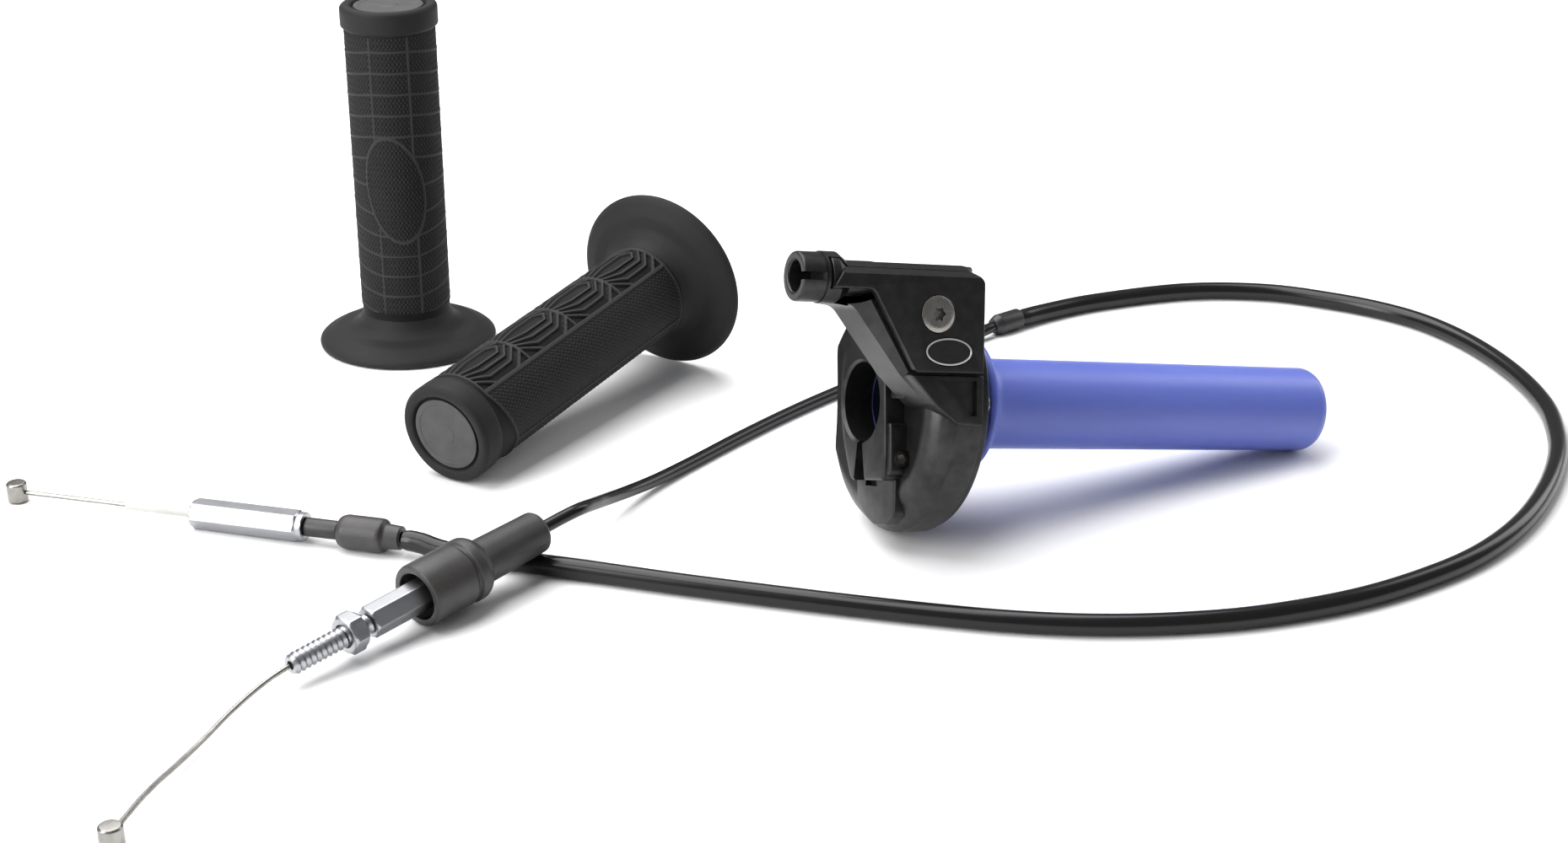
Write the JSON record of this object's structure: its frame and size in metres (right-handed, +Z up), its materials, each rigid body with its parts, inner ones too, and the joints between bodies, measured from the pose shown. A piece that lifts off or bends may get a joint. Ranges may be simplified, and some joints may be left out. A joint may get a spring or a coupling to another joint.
{
  "type": "motorcycle throttle grip kit",
  "caption": "Quick-turn throttle housing with blue twist tube and cable guide roller, a loose throttle cable with adjusters and boots, and a pair of flanged rubber grips.",
  "frame": {"origin": "on the surface the kit lies on, in the middle of the footprint of the throttle and the two grips", "axes": "+Z up, +X along the plan direction of the throttle's bar axis from the clamp to the tube's end, -Y the cover side"},
  "size_m": [0.4837, 0.3324, 0.118],
  "materials": {
    "black_anodised": "satin black anodised, machined",
    "badge": "plain oval laser mark",
    "stainless": "brushed stainless steel",
    "bronze": "sintered bronze",
    "white_nylon": "natural nylon",
    "black_nylon": "moulded black nylon",
    "blue_nylon": "moulded blue nylon, satin",
    "grip_rubber": "matt moulded rubber",
    "grey_inlay": "plain grey inlay",
    "boot_rubber": "moulded rubber, slight sheen",
    "conduit_black": "extruded black sleeve, semi-gloss",
    "zinc_plate": "bright zinc plate"
  },
  "bodies": {
    "housing": {"housing_body": "black_anodised", "housing_cover": "black_anodised", "cover_badge": "badge", "rear_cap": "black_anodised", "rear_cap_screw_1": "stainless", "rear_cap_screw_2": "stainless", "rear_cap_screw_3": "stainless", "cable_inlet_ferrule": "black_anodised", "roller_pivot_screw": "stainless", "roller_bush": "bronze", "roller_washer": "stainless", "clamp_pinch_bolt": "stainless", "dust_seal": "boot_rubber", "cable_sleeve": "conduit_black", "cable_conduit": "conduit_black", "sleeve_step_ferrule": "black_nylon", "carb_wire": "stainless", "carb_nipple": "stainless", "adjuster_hex_body": "zinc_plate", "adjuster_screw": "zinc_plate", "sleeve_boot": "boot_rubber", "sleeve_ferrule": "black_nylon", "cable_liner": "white_nylon"},
    "twist_tube": {"throttle_tube": "blue_nylon", "cable_reel": "black_nylon", "reel_screw_1": "stainless", "reel_screw_2": "stainless"},
    "roller": {"guide_roller": "white_nylon"},
    "locknut": {"adjuster_locknut": "zinc_plate"},
    "boot": {"adjuster_boot": "boot_rubber"},
    "adjuster": {"cable_adjuster": "zinc_plate"},
    "inner_wire": {"throttle_wire": "stainless", "throttle_nipple": "stainless"},
    "left_hand_grip": {"left_grip": "grip_rubber", "left_grip_end_inlay": "grey_inlay"},
    "right_hand_grip": {"right_grip": "grip_rubber", "right_grip_end_inlay": "grey_inlay"}
  },
  "joints": [
    {"name": "tube_twist", "type": "hinge", "parent": "housing", "child": "twist_tube", "pos_m": [-0.0225, -0.0963, 0.03985], "axis": [0.9838, 0, -0.179], "range_deg": [0, 75]},
    {"name": "roller_turn", "type": "hinge", "parent": "housing", "child": "roller", "pos_m": [-0.01287, -0.11625, 0.07155], "axis": [-0.0612, 0.9397, -0.3365], "continuous": true},
    {"name": "locknut_travel", "type": "slide", "parent": "housing", "child": "locknut", "axis": [-0.8966, -0.4373, -0.0698], "range_m": [-0.0025, 0.016]},
    {"name": "boot_slide", "type": "slide", "parent": "housing", "child": "boot", "axis": [0.8966, 0.4373, 0.0698], "range_m": [0, 0.008]},
    {"name": "adjuster_travel", "type": "slide", "parent": "housing", "child": "adjuster", "axis": [-0.7614, 0.648, -0.0175], "range_m": [0, 0.008]},
    {"name": "wire_pull", "type": "slide", "parent": "housing", "child": "inner_wire", "axis": [-0.7614, 0.648, -0.0175], "range_m": [-0.02, 0.02]},
    {"name": "left_grip_lift", "type": "slide", "parent": "housing", "child": "left_hand_grip", "axis": [0, 0, 1], "range_m": [0, 0.15]},
    {"name": "right_grip_lift", "type": "slide", "parent": "housing", "child": "right_hand_grip", "axis": [0, 0, 1], "range_m": [0, 0.15]}
  ]
}
